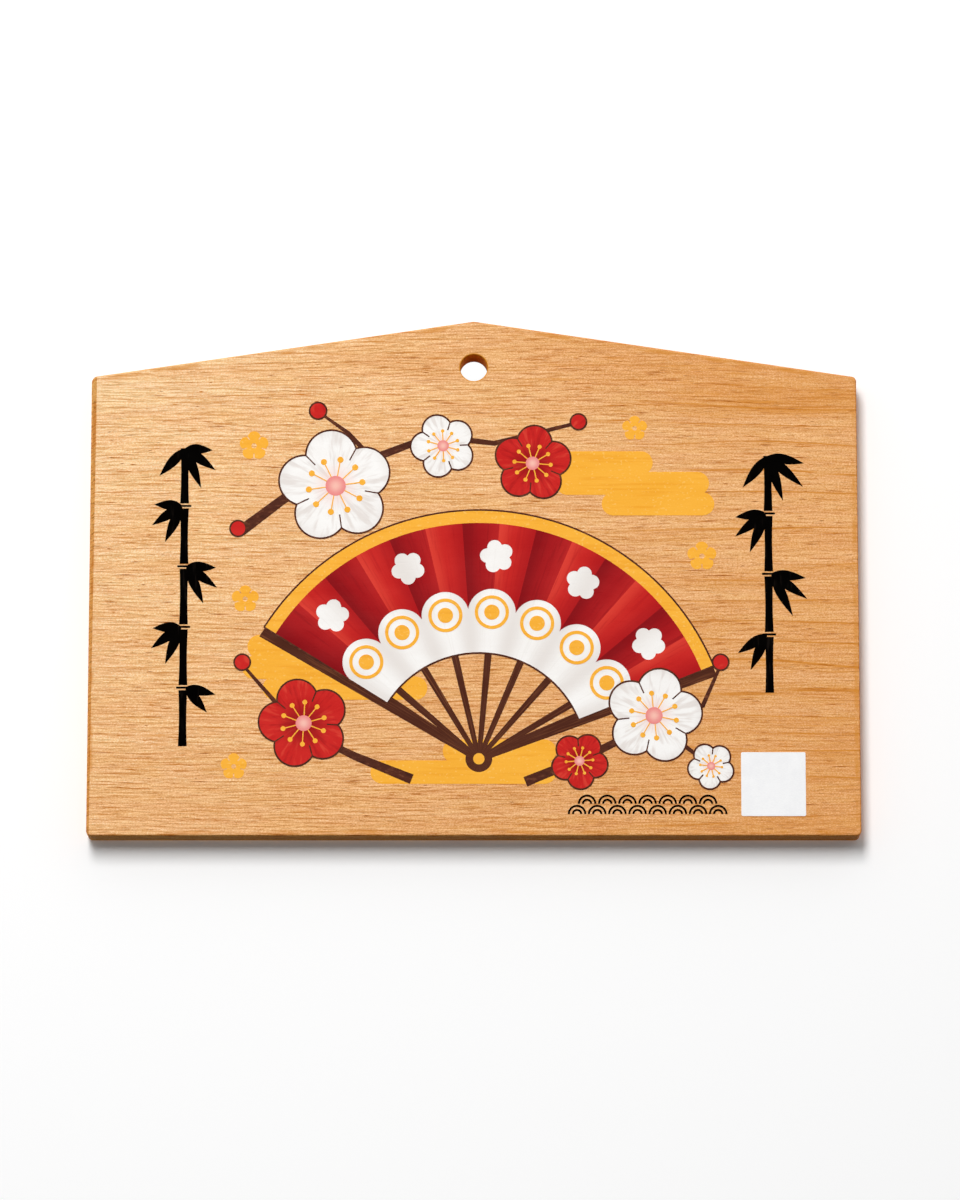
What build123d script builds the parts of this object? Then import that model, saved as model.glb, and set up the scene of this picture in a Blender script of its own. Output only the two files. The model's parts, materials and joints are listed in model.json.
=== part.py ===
from build123d import *
from math import cos, radians, sin, sqrt
import os

# An ema: a small wooden votive plaque with a low roof-shaped top, a cord hole under the peak
# and a picture printed on its front face in films of ink.
# Millimetres. +Z is up, +X is to the right of someone who looks at the front, and the front faces -Y.
# The origin is on the axis of the cord hole, half way through the board.

# Board
BOARD_WIDTH = 150.0
SIDE_HEIGHT = 90.8
ROOF_RISE = 11.2
THICKNESS = 7.0
CORNER_RADIUS = 1.0
PEAK_RADIUS = 1.5
ARRIS_RADIUS = 0.35
BEVEL_TOP = 1.1
BEVEL_BOTTOM = 0.55
BEVEL_STEEPNESS = 1.3

# Cord hole
HOLE_DIAMETER = 5.4
HOLE_DROP = 9.3
HOLE_EDGE_BREAK = 0.12

# Label, and what the ink keeps clear of
LABEL_SIZE = 12.5
LABEL_THICKNESS = 0.1
LABEL_CORNER = 0.3
LABEL_TO_SIDE = 10.7
LABEL_TO_BOTTOM = 3.8
PRINT_MARGIN = 2.0
LABEL_CLEARANCE = 0.5

# Ink film and drawn lines
INK = 0.05
OUTLINE = 0.35
CREASE_LINE = 0.25
STAMEN_LINE = 0.22

# Folding fan. Places on the face are measured right of the centre line and above the bottom edge.
FAN_PIVOT = (1.0, 15.0)
FAN_RADIUS = 49.0
FAN_LEAF = 28.0
FAN_SPREAD = 126.0
FAN_LEAN = -5.0
FAN_PLEATS = 14
FAN_RIM = 2.4
FAN_WHITE_BAND = 8.0
FAN_RIB_WIDTH = 1.4
FAN_RIB_FOOT = 0.9
FAN_GUARD_WIDTH = 2.2
FAN_HUB_RADIUS = 2.6
FAN_RIVET_RADIUS = 1.1
SCALLOP_OVERLAP = 0.1
SCALLOP_LINE = 0.65
SCALLOP_DOT_RADIUS = 1.5
CREST_RADIUS = 3.3
CREST_COUNT = 5

# Plum blossoms, each as its place, its radius and its turn in degrees, and buds without a turn
WHITE_BLOSSOMS = [
    (-27.0, 69.0, 11.0, 8.0),
    (35.0, 23.5, 9.2, -12.0),
    (-6.0, 77.0, 6.2, 20.0),
    (46.0, 13.6, 4.4, 30.0),
]
RED_BLOSSOMS = [
    (11.5, 73.5, 7.4, -5.0),
    (-33.0, 22.0, 8.6, 15.0),
    (20.5, 14.6, 5.4, 40.0),
]
BUDS = [
    (-30.5, 84.0, 1.5),
    (20.5, 81.8, 1.4),
    (48.0, 34.0, 1.4),
    (-45.0, 34.0, 1.4),
    (-46.0, 60.5, 1.4),
]

# Parts of a blossom, as shares of its radius
PETAL_COUNT = 5
PETAL_REACH = 0.56
PETAL_SIZE = 0.44
CREASE_SHARE = 0.22
HEART_SHARE = 0.18
STAMEN_SHARE = 0.3
STAMEN_TIP_SHARE = 0.055
STAMEN_COUNT = 10

# Plum branches, each as its points, its thick end and its thin end
BRANCHES = [
    ([(-45.5, 60.0), (-37.0, 66.5), (-21.0, 74.0), (-8.0, 79.0), (4.0, 77.5), (20.0, 81.5)], 2.2, 0.7),
    ([(-20.0, 74.5), (-24.5, 79.5), (-30.0, 83.5)], 1.1, 0.5),
    ([(10.0, 10.5), (21.0, 15.0), (33.0, 21.0), (44.5, 25.5), (47.8, 33.0)], 2.0, 0.6),
    ([(-12.0, 11.0), (-23.0, 15.5), (-34.0, 21.0), (-44.5, 33.0)], 2.0, 0.6),
    ([(39.0, 19.0), (46.0, 13.6)], 1.0, 0.5),
]

# Gold cloud bars, each as its centre and its length, and gold flowers as their centre and radius
CLOUD_BAR = 4.6
CLOUDS = [
    (31.0, 69.5, 30.0),
    (36.0, 65.4, 22.0),
    (25.0, 73.6, 20.0),
    (-31.0, 33.0, 28.0),
    (-25.0, 28.9, 32.0),
    (-36.0, 37.1, 16.0),
    (-2.0, 12.4, 36.0),
    (5.0, 16.5, 22.0),
]
GOLD_FLOWERS = [
    (-43.0, 77.0, 2.9),
    (31.5, 80.5, 2.5),
    (44.5, 55.0, 2.9),
    (-44.5, 46.5, 2.7),
    (-46.5, 13.5, 2.6),
]

# Ink bamboo: the two canes, and the shape of a joint and a leaf
CANE_WIDTH = 1.7
CANE_GAP = 1.0
CANE_WAIST = 0.14
JOINT_LENGTH = 11.0
JOINT_MARK = 0.4
JOINT_MARK_WIDTH = 2.7
LEAF_WIDTH = 2.0
LEFT_CANE_FOOT = (-56.5, 17.5)
LEFT_CANE_JOINTS = 5
RIGHT_CANE_FOOT = (57.5, 28.0)
RIGHT_CANE_JOINTS = 4

# Sprays of leaves, each as its place from the foot of the cane and the direction and length of its leaves
LEFT_SPRAYS = [
    ((0.5, 11.6), [(-50.0, 6.5), (-14.0, 6.0)]),
    ((-0.5, 23.6), [(-112.0, 8.0), (-143.0, 7.2), (-176.0, 5.5)]),
    ((0.5, 35.6), [(-66.0, 8.2), (-36.0, 7.4), (-4.0, 5.8)]),
    ((-0.5, 47.6), [(-114.0, 8.0), (-146.0, 7.0), (178.0, 5.4)]),
    ((0.0, 59.0), [(-132.0, 7.4), (-68.0, 8.6), (-36.0, 7.4), (-4.0, 5.4)]),
]
RIGHT_SPRAYS = [
    ((-0.5, 11.6), [(-114.0, 7.8), (-146.0, 6.8)]),
    ((0.5, 23.6), [(-64.0, 9.4), (-36.0, 8.6), (-8.0, 6.8)]),
    ((-0.5, 35.6), [(-112.0, 8.4), (-142.0, 7.6), (-172.0, 6.0)]),
    ((0.0, 47.0), [(-128.0, 8.0), (-72.0, 9.4), (-42.0, 9.2), (-12.0, 7.2)]),
]

# Two staggered rows of waves beside the label
WAVE_RADIUS = 1.8
WAVE_GAP = 0.3
WAVE_LINE = 0.4
WAVE_COUNT = 8
WAVE_ROW_STEP = 2.0
WAVE_TO_LABEL = 2.7
WAVE_TO_BOTTOM = 4.2

PEAK_HEIGHT = SIDE_HEIGHT + ROOF_RISE
HOLE_HEIGHT = PEAK_HEIGHT - HOLE_DROP
HALF_WIDTH = BOARD_WIDTH / 2
FRONT_Y = -THICKNESS / 2
LABEL_RIGHT = HALF_WIDTH - LABEL_TO_SIDE
LABEL_CENTRE = (LABEL_RIGHT - LABEL_SIZE / 2, LABEL_TO_BOTTOM + LABEL_SIZE / 2)
FAN_START = 90 + FAN_LEAN - FAN_SPREAD / 2
FAN_INNER = FAN_RADIUS - FAN_LEAF
FAN_RED_INNER = FAN_INNER + FAN_WHITE_BAND
FAN_RED_OUTER = FAN_RADIUS - FAN_RIM
PLEAT = FAN_SPREAD / FAN_PLEATS
SCALLOP_COUNT = FAN_PLEATS // 2
SCALLOP_RADIUS = FAN_RED_INNER * sin(radians(FAN_SPREAD / SCALLOP_COUNT / 2)) + SCALLOP_OVERLAP
CREST_CIRCLE = (FAN_RED_INNER + SCALLOP_RADIUS + FAN_RED_OUTER) / 2
CREST_STEP = FAN_SPREAD / CREST_COUNT
PETAL_STEP = 360 / PETAL_COUNT
BLOSSOMS = WHITE_BLOSSOMS + RED_BLOSSOMS

# The front face, measured from the middle of its bottom edge, the top of the first film on it,
# and the mouth of the hole.
FACE = Plane(origin=(0, FRONT_Y, -HOLE_HEIGHT), x_dir=(1, 0, 0), z_dir=(0, -1, 0))
OVERPRINT = FACE.offset(INK)
HOLE_MOUTH = Plane(origin=(0, FRONT_Y, 0), x_dir=(1, 0, 0), z_dir=(0, -1, 0))


def plaque_outline():
    """The five-sided outline of the plaque with sharp corners."""
    with BuildSketch() as outline:
        with BuildLine():
            Polyline(
                (-HALF_WIDTH, 0),
                (HALF_WIDTH, 0),
                (HALF_WIDTH, SIDE_HEIGHT),
                (0, PEAK_HEIGHT),
                (-HALF_WIDTH, SIDE_HEIGHT),
                close=True,
            )
        make_face()
    return outline.sketch


# The left edge is dressed with a flat bevel that narrows from the shoulder to the foot.
bevel_shoulder = Vector(-HALF_WIDTH + BEVEL_TOP, FRONT_Y, SIDE_HEIGHT - HOLE_HEIGHT)
bevel_foot = Vector(-HALF_WIDTH + BEVEL_BOTTOM, FRONT_Y, -HOLE_HEIGHT)
bevel_side = Vector(-HALF_WIDTH, FRONT_Y + BEVEL_TOP * BEVEL_STEEPNESS, SIDE_HEIGHT - HOLE_HEIGHT)
bevel_normal = (bevel_foot - bevel_shoulder).cross(bevel_side - bevel_shoulder)

with BuildPart() as board:
    with BuildSketch(FACE) as board_face:
        add(plaque_outline())
        fillet(board_face.vertices().sort_by(Axis.Y)[:-1], CORNER_RADIUS)
        fillet(board_face.vertices().sort_by(Axis.Y)[-1], PEAK_RADIUS)
    extrude(amount=-THICKNESS)
    fillet(board.faces().sort_by(Axis.Y)[0].edges(), ARRIS_RADIUS)
    fillet(board.faces().sort_by(Axis.Y)[-1].edges(), ARRIS_RADIUS)
    split(bisect_by=Plane(origin=bevel_shoulder, z_dir=bevel_normal), keep=Keep.TOP)
    with Locations(HOLE_MOUTH):
        Hole(HOLE_DIAMETER / 2)
    hole_wall = board.faces(Select.LAST).filter_by(GeomType.CYLINDER)
    chamfer(hole_wall.edges().filter_by(GeomType.CIRCLE), HOLE_EDGE_BREAK)

with BuildPart() as white_label:
    with BuildSketch(FACE):
        with Locations(LABEL_CENTRE):
            RectangleRounded(LABEL_SIZE, LABEL_SIZE, LABEL_CORNER)
    extrude(amount=LABEL_THICKNESS)

# The part of the face that ink may cover: clear of the edges, the hole and the label.
with BuildSketch() as print_area:
    add(plaque_outline())
    offset(amount=-PRINT_MARGIN, mode=Mode.REPLACE)
    with Locations((0, HOLE_HEIGHT)):
        Circle(HOLE_DIAMETER / 2 + PRINT_MARGIN, mode=Mode.SUBTRACT)
    with Locations(LABEL_CENTRE):
        clear_size = LABEL_SIZE + 2 * LABEL_CLEARANCE
        Rectangle(clear_size, clear_size, mode=Mode.SUBTRACT)


def blossom_place(x, height, turn):
    """The place of a blossom on the face, turned about its own centre."""
    return Locations(Location((x, height, 0), (0, 0, turn)))


def petals(radius, grow=0.0, mode=Mode.ADD):
    """Five round petals and the middle that joins them, with their edge moved out by grow."""
    with PolarLocations(PETAL_REACH * radius, PETAL_COUNT, start_angle=90):
        Circle(PETAL_SIZE * radius + grow, mode=mode)
    Circle(PETAL_REACH * radius, mode=mode)


def petal_creases(radius, mode=Mode.ADD):
    """A short line between each two petals, from the outline at their notch towards the heart."""
    half_step = radians(PETAL_STEP / 2)
    notch = PETAL_REACH * cos(half_step) + sqrt(PETAL_SIZE**2 - (PETAL_REACH * sin(half_step)) ** 2)
    length = CREASE_SHARE * radius + OUTLINE
    middle = notch * radius + OUTLINE - length / 2
    with PolarLocations(middle, PETAL_COUNT, start_angle=90 + PETAL_STEP / 2):
        Rectangle(length, CREASE_LINE, mode=mode)


def stamens(radius, mode=Mode.ADD):
    """A ring of thin threads, rooted just inside the heart, with a round tip on each."""
    root = HEART_SHARE * radius - STAMEN_LINE
    tip = (HEART_SHARE + STAMEN_SHARE) * radius
    with PolarLocations((root + tip) / 2, STAMEN_COUNT):
        Rectangle(tip - root, STAMEN_LINE, mode=mode)
    with PolarLocations(tip, STAMEN_COUNT):
        Circle(STAMEN_TIP_SHARE * radius, mode=mode)


def from_pivot(radius, direction):
    """The point at this distance and direction from the pivot of the fan."""
    return FAN_PIVOT[0] + radius * cos(radians(direction)), FAN_PIVOT[1] + radius * sin(radians(direction))


def fan_band(inner, outer, start, sweep):
    """A stretch of the fan between two radii and two directions from its pivot."""
    with BuildSketch() as band:
        with BuildLine():
            outer_edge = CenterArc(FAN_PIVOT, outer, start, sweep)
            inner_edge = CenterArc(FAN_PIVOT, inner, start, sweep)
            Line(outer_edge @ 0, inner_edge @ 0)
            Line(outer_edge @ 1, inner_edge @ 1)
        make_face()
    return band.sketch


def tapered_stroke(points, thick, thin):
    """A brush stroke along the points that narrows evenly from its thick end to its thin end."""
    last = len(points) - 1
    left_side, right_side = [], []
    for index, (x, height) in enumerate(points):
        before, after = points[max(index - 1, 0)], points[min(index + 1, last)]
        run = (Vector(*after) - Vector(*before)).normalized()
        half = (thick + (thin - thick) * index / last) / 2
        left_side.append((x - run.Y * half, height + run.X * half))
        right_side.append((x + run.Y * half, height - run.X * half))
    with BuildSketch() as stroke:
        with BuildLine():
            Polyline(*left_side, *reversed(right_side), close=True)
        make_face()
    return stroke.sketch


def bamboo_leaf(length):
    """A leaf that widens quickly from its stem and ends in a long point."""
    belly, shoulder = (length * 0.3, LEAF_WIDTH * 0.8), (length * 0.6, LEAF_WIDTH * 0.5)
    with BuildSketch() as leaf:
        with BuildLine():
            edge = Bezier((0, 0), belly, shoulder, (length, 0))
            mirror(edge, about=Plane.XZ)
        make_face()
    return leaf.sketch


def bamboo_joint():
    """One length of cane between two joints, drawn in a little at its middle."""
    half = CANE_WIDTH / 2
    with BuildSketch() as joint:
        with BuildLine():
            side = ThreePointArc((half, 0), (half - CANE_WAIST, JOINT_LENGTH / 2), (half, JOINT_LENGTH))
            mirror(side, about=Plane.YZ)
            Line((-half, 0), (half, 0))
            Line((-half, JOINT_LENGTH), (half, JOINT_LENGTH))
        make_face()
    return joint.sketch


def bamboo(foot, joints, sprays):
    """A cane of several joints, with a short bar at each joint and sprays of leaves."""
    step = JOINT_LENGTH + CANE_GAP
    with BuildSketch() as cane:
        for index in range(joints):
            with Locations((foot[0], foot[1] + index * step)):
                add(bamboo_joint())
        for index in range(1, joints):
            with Locations((foot[0], foot[1] + index * step - CANE_GAP / 2)):
                SlotOverall(JOINT_MARK_WIDTH, JOINT_MARK)
        for (x, height), leaves in sprays:
            for direction, length in leaves:
                with Locations(Location((foot[0] + x, foot[1] + height, 0), (0, 0, direction))):
                    add(bamboo_leaf(length))
    return cane.sketch


# Flat shapes that more than one film shares
with BuildSketch() as fan_leaf:
    add(fan_band(FAN_INNER, FAN_RADIUS, FAN_START, FAN_SPREAD))

with BuildSketch() as blossom_shape:
    for x, height, radius, turn in BLOSSOMS:
        with blossom_place(x, height, turn):
            petals(radius, OUTLINE)

with BuildSketch() as white_shape:
    add(fan_leaf.sketch)
    offset(amount=OUTLINE, mode=Mode.REPLACE)
    add(blossom_shape.sketch)
    for x, height, radius in BUDS:
        with Locations((x, height)):
            Circle(radius + OUTLINE)

with BuildSketch() as rib_shape:
    with Locations(FAN_PIVOT):
        Circle(FAN_HUB_RADIUS)
    for pleat in range(1, FAN_PLEATS, 2):
        tip = from_pivot(FAN_INNER, FAN_START + pleat * PLEAT)
        add(tapered_stroke([FAN_PIVOT, tip], FAN_RIB_FOOT, FAN_RIB_WIDTH))
    for edge_direction in (FAN_START, FAN_START + FAN_SPREAD):
        tip = from_pivot(FAN_RADIUS, edge_direction)
        add(tapered_stroke([FAN_PIVOT, tip], FAN_RIB_WIDTH, 2 * FAN_GUARD_WIDTH))
    add(white_shape.sketch, mode=Mode.SUBTRACT)

with BuildSketch() as branch_shape:
    for points, thick, thin in BRANCHES:
        add(tapered_stroke(points, thick, thin))
    add(white_shape.sketch, mode=Mode.SUBTRACT)
    add(rib_shape.sketch, mode=Mode.SUBTRACT)

with BuildSketch() as cloud_shape:
    for x, height, length in CLOUDS:
        with Locations((x, height)):
            SlotOverall(length, CLOUD_BAR)
    add(white_shape.sketch, mode=Mode.SUBTRACT)
    add(rib_shape.sketch, mode=Mode.SUBTRACT)
    add(branch_shape.sketch, mode=Mode.SUBTRACT)

with BuildSketch() as picture_shape:
    add(white_shape.sketch)
    add(rib_shape.sketch)
    add(branch_shape.sketch)
    add(cloud_shape.sketch)

with BuildSketch() as red_band:
    add(fan_band(FAN_RED_INNER, FAN_RED_OUTER, FAN_START, FAN_SPREAD))
    with Locations(FAN_PIVOT):
        with PolarLocations(FAN_RED_INNER, SCALLOP_COUNT, FAN_START + PLEAT, FAN_SPREAD):
            Circle(SCALLOP_RADIUS, mode=Mode.SUBTRACT)
        with PolarLocations(CREST_CIRCLE, CREST_COUNT, FAN_START + CREST_STEP / 2, FAN_SPREAD):
            petals(CREST_RADIUS, mode=Mode.SUBTRACT)
    add(blossom_shape.sketch, mode=Mode.SUBTRACT)

with BuildSketch() as alternate_pleats:
    for pleat in range(0, FAN_PLEATS, 2):
        add(fan_band(FAN_INNER, FAN_RADIUS, FAN_START + pleat * PLEAT, PLEAT))

# The films that lie on the wood, side by side
with BuildPart() as white_underprint:
    with BuildSketch(FACE):
        add(white_shape.sketch)
        add(print_area.sketch, mode=Mode.INTERSECT)
    extrude(amount=INK)

with BuildPart() as fan_ribs:
    with BuildSketch(FACE):
        add(rib_shape.sketch)
        add(print_area.sketch, mode=Mode.INTERSECT)
    extrude(amount=INK)

with BuildPart() as plum_branches:
    with BuildSketch(FACE):
        add(branch_shape.sketch)
        add(print_area.sketch, mode=Mode.INTERSECT)
    extrude(amount=INK)

with BuildPart() as gold_clouds:
    with BuildSketch(FACE):
        add(cloud_shape.sketch)
        add(print_area.sketch, mode=Mode.INTERSECT)
    extrude(amount=INK)

with BuildPart() as gold_flowers:
    with BuildSketch(FACE):
        for x, height, radius in GOLD_FLOWERS:
            with Locations((x, height)):
                petals(radius)
                petal_creases(radius, mode=Mode.SUBTRACT)
                Circle(HEART_SHARE * radius, mode=Mode.SUBTRACT)
        add(picture_shape.sketch, mode=Mode.SUBTRACT)
        add(print_area.sketch, mode=Mode.INTERSECT)
    extrude(amount=INK)

with BuildPart() as left_bamboo:
    with BuildSketch(FACE):
        add(bamboo(LEFT_CANE_FOOT, LEFT_CANE_JOINTS, LEFT_SPRAYS))
        add(picture_shape.sketch, mode=Mode.SUBTRACT)
        add(print_area.sketch, mode=Mode.INTERSECT)
    extrude(amount=INK)

with BuildPart() as right_bamboo:
    with BuildSketch(FACE):
        add(bamboo(RIGHT_CANE_FOOT, RIGHT_CANE_JOINTS, RIGHT_SPRAYS))
        add(picture_shape.sketch, mode=Mode.SUBTRACT)
        add(print_area.sketch, mode=Mode.INTERSECT)
    extrude(amount=INK)


def waves(right, foot, count):
    """A row of waves that ends at the right: two half rings each, on one foot line."""
    pitch = 2 * WAVE_RADIUS + WAVE_GAP
    with BuildSketch() as row:
        with Locations(*[(right - WAVE_RADIUS - index * pitch, foot) for index in range(count)]):
            Circle(WAVE_RADIUS)
            Circle(WAVE_RADIUS - WAVE_LINE, mode=Mode.SUBTRACT)
            Circle(WAVE_RADIUS - 2 * WAVE_LINE)
            Circle(WAVE_RADIUS - 3 * WAVE_LINE, mode=Mode.SUBTRACT)
        with Locations((right, foot)):
            Rectangle(count * pitch, WAVE_RADIUS, align=(Align.MAX, Align.MIN), mode=Mode.INTERSECT)
    return row.sketch


wave_right = LABEL_RIGHT - LABEL_SIZE - WAVE_TO_LABEL

with BuildPart() as wave_row:
    with BuildSketch(FACE):
        add(waves(wave_right, WAVE_TO_BOTTOM, WAVE_COUNT))
        add(waves(wave_right - WAVE_RADIUS - WAVE_GAP / 2, WAVE_TO_BOTTOM + WAVE_ROW_STEP, WAVE_COUNT - 1))
        add(picture_shape.sketch, mode=Mode.SUBTRACT)
        add(print_area.sketch, mode=Mode.INTERSECT)
    extrude(amount=INK)

# The films that lie on the white underprint, and the rivet on the hub of the fan
with BuildPart() as fan_light_pleats:
    with BuildSketch(OVERPRINT):
        add(red_band.sketch)
        add(alternate_pleats.sketch, mode=Mode.INTERSECT)
        add(print_area.sketch, mode=Mode.INTERSECT)
    extrude(amount=INK)

with BuildPart() as fan_dark_pleats:
    with BuildSketch(OVERPRINT):
        add(red_band.sketch)
        add(alternate_pleats.sketch, mode=Mode.SUBTRACT)
        add(print_area.sketch, mode=Mode.INTERSECT)
    extrude(amount=INK)

with BuildPart() as fan_gold_trim:
    with BuildSketch(OVERPRINT):
        add(fan_band(FAN_RED_OUTER, FAN_RADIUS, FAN_START, FAN_SPREAD))
        with Locations(FAN_PIVOT):
            with PolarLocations(FAN_RED_INNER, SCALLOP_COUNT, FAN_START + PLEAT, FAN_SPREAD):
                Circle(SCALLOP_RADIUS - 2 * SCALLOP_LINE)
                Circle(SCALLOP_RADIUS - 3 * SCALLOP_LINE, mode=Mode.SUBTRACT)
                Circle(SCALLOP_DOT_RADIUS)
        add(blossom_shape.sketch, mode=Mode.SUBTRACT)
        with Locations(FAN_PIVOT):
            Circle(FAN_RIVET_RADIUS)
        add(print_area.sketch, mode=Mode.INTERSECT)
    extrude(amount=INK)

with BuildPart() as brown_key_lines:
    with BuildSketch(OVERPRINT):
        add(fan_leaf.sketch)
        offset(amount=OUTLINE, mode=Mode.REPLACE)
        add(fan_leaf.sketch, mode=Mode.SUBTRACT)
        for x, height, radius, turn in BLOSSOMS:
            with blossom_place(x, height, turn):
                petals(radius, OUTLINE)
                petals(radius, mode=Mode.SUBTRACT)
                petal_creases(radius)
        for x, height, radius in BUDS:
            with Locations((x, height)):
                Circle(radius + OUTLINE)
                Circle(radius, mode=Mode.SUBTRACT)
        add(print_area.sketch, mode=Mode.INTERSECT)
    extrude(amount=INK)

with BuildPart() as red_petals:
    with BuildSketch(OVERPRINT):
        for x, height, radius, turn in RED_BLOSSOMS:
            with blossom_place(x, height, turn):
                petals(radius)
                petal_creases(radius, mode=Mode.SUBTRACT)
                stamens(radius, mode=Mode.SUBTRACT)
                Circle(HEART_SHARE * radius, mode=Mode.SUBTRACT)
        for x, height, radius in BUDS:
            with Locations((x, height)):
                Circle(radius)
        add(print_area.sketch, mode=Mode.INTERSECT)
    extrude(amount=INK)

with BuildPart() as pink_hearts:
    with BuildSketch(OVERPRINT):
        for x, height, radius, turn in BLOSSOMS:
            with Locations((x, height)):
                Circle(HEART_SHARE * radius)
        add(print_area.sketch, mode=Mode.INTERSECT)
    extrude(amount=INK)

with BuildPart() as gold_stamens:
    with BuildSketch(OVERPRINT):
        for x, height, radius, turn in BLOSSOMS:
            with blossom_place(x, height, turn):
                stamens(radius)
                Circle(HEART_SHARE * radius, mode=Mode.SUBTRACT)
        add(print_area.sketch, mode=Mode.INTERSECT)
    extrude(amount=INK)

pieces = {
    "board": board,
    "white_label": white_label,
    "white_underprint": white_underprint,
    "fan_ribs": fan_ribs,
    "plum_branches": plum_branches,
    "gold_clouds": gold_clouds,
    "gold_flowers": gold_flowers,
    "left_bamboo": left_bamboo,
    "right_bamboo": right_bamboo,
    "wave_row": wave_row,
    "fan_light_pleats": fan_light_pleats,
    "fan_dark_pleats": fan_dark_pleats,
    "fan_gold_trim": fan_gold_trim,
    "brown_key_lines": brown_key_lines,
    "red_petals": red_petals,
    "pink_hearts": pink_hearts,
    "gold_stamens": gold_stamens,
}

os.makedirs("parts", exist_ok=True)
for name, piece in pieces.items():
    piece.part.label = name
    export_step(piece.part, f"parts/{name}.step")
    print(name, len(piece.part.solids()), "solids", round(piece.part.volume, 2), "mm3")
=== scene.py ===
# %% [markdown]
# # An ema, a printed wooden votive plaque
# An ema is a thin board with a low roof-shaped top and one cord hole under the peak. Visitors hang it at a
# shrine. This lesson dresses the finished construction model: bare planed wood, a picture in flat opaque
# inks and one blank white paper label. The shapes are already right, so nearly all of the work is in the
# finishes. The construction model is loaded first and never moved.

import json
import math

import bpy
import bmesh
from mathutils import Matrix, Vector


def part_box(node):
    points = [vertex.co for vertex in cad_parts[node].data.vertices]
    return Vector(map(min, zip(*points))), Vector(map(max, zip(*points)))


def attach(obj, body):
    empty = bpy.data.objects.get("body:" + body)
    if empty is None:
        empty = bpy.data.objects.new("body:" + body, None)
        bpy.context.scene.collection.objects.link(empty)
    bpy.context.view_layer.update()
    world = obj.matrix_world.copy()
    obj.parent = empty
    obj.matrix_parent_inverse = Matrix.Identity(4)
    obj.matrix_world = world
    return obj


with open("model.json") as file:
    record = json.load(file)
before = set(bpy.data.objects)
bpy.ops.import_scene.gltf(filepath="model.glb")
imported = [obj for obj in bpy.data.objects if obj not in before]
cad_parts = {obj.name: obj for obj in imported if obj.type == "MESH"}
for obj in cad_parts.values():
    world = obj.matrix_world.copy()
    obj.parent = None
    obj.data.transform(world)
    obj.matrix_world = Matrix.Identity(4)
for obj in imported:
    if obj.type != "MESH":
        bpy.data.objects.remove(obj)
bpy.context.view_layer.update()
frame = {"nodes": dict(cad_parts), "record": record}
print("pieces of the plaque:", sorted(frame["nodes"]))

# %% [markdown]
# ## Sizes taken from the plaque itself
# Every pattern below is placed on the real board, so its sizes are measured on the loaded board and not
# typed again. The radius of the cord hole stands in the plaque's record. Only the rise of the roof can't be
# read from either, and is named.

# %% Measure the board
MM = 0.001
ROOF_RISE = 11.2 * MM

board_low, board_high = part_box("board")
half_width = board_high.x
front = board_low.y
back = board_high.y
bottom = board_low.z
peak = board_high.z
shoulder = peak - ROOF_RISE
print(f"board {2 * half_width / MM:.1f} mm wide, {(peak - bottom) / MM:.1f} mm high")
print(f"and {(back - front) / MM:.1f} mm thick, shoulders at {shoulder / MM:.1f} mm")

# %% Look up the cord hole
cord_hole = next(mount for mount in frame["record"]["mounts"] if mount["name"] == "cord_hole")
hole_radius = cord_hole["dims"]["r_mm"] * MM
print(f"cord hole {2 * hole_radius / MM:.1f} mm across")

# %% [markdown]
# ## Helpers for node trees
# A shader tree is a drawing of a sum. Each helper adds one node and gives back its output, so a pattern can
# be written almost as a formula. Values stay on the socket, and sockets are linked. All of these nodes also
# exist in Geometry Nodes, so the wood's pores can later follow the very same grain as its colour.

# %% Feed a socket
def feed(tree, socket, value):
    """Links value to the socket if it is a socket too, and otherwise stores it there."""
    if isinstance(value, bpy.types.NodeSocket):
        tree.links.new(value, socket)
    else:
        socket.default_value = value


# %% Do sums
def maths(tree, operation, first, second=0.0):
    """One Math node, as its output."""
    made = tree.nodes.new("ShaderNodeMath")
    made.operation = operation
    feed(tree, made.inputs[0], first)
    feed(tree, made.inputs[1], second)
    return made.outputs["Value"]


def times(tree, first, second):
    return maths(tree, "MULTIPLY", first, second)


def plus(tree, first, second):
    return maths(tree, "ADD", first, second)


def minus(tree, first, second):
    return maths(tree, "SUBTRACT", first, second)


def vector_maths(tree, operation, *vectors):
    """One Vector Math node, as its vector output."""
    made = tree.nodes.new("ShaderNodeVectorMath")
    made.operation = operation
    for socket, vector in zip(made.inputs, vectors):
        feed(tree, socket, vector)
    return made.outputs["Vector"]


def ease(tree, value, start, end, low=0.0, high=1.0):
    """Runs smoothly from low to high while value goes from start to end."""
    made = tree.nodes.new("ShaderNodeMapRange")
    made.interpolation_type = "SMOOTHSTEP"
    feed(tree, made.inputs["Value"], value)
    made.inputs["From Min"].default_value = start
    made.inputs["From Max"].default_value = end
    made.inputs["To Min"].default_value = low
    made.inputs["To Max"].default_value = high
    return made.outputs["Result"]


# %% Join and split vectors
def combine(tree, x, y, z):
    """A vector from three values."""
    made = tree.nodes.new("ShaderNodeCombineXYZ")
    for socket, value in zip(made.inputs, (x, y, z)):
        feed(tree, socket, value)
    return made.outputs["Vector"]


def split(tree, vector):
    """The x, y and z of a vector."""
    made = tree.nodes.new("ShaderNodeSeparateXYZ")
    feed(tree, made.inputs["Vector"], vector)
    return made.outputs["X"], made.outputs["Y"], made.outputs["Z"]


# %% [markdown]
# ## Groups and materials
# An effect that several finishes share goes into a node group with named inputs and outputs. A new finish
# starts as one Principled shader and the place on the plaque in millimetres, read from Object coordinates.

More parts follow.
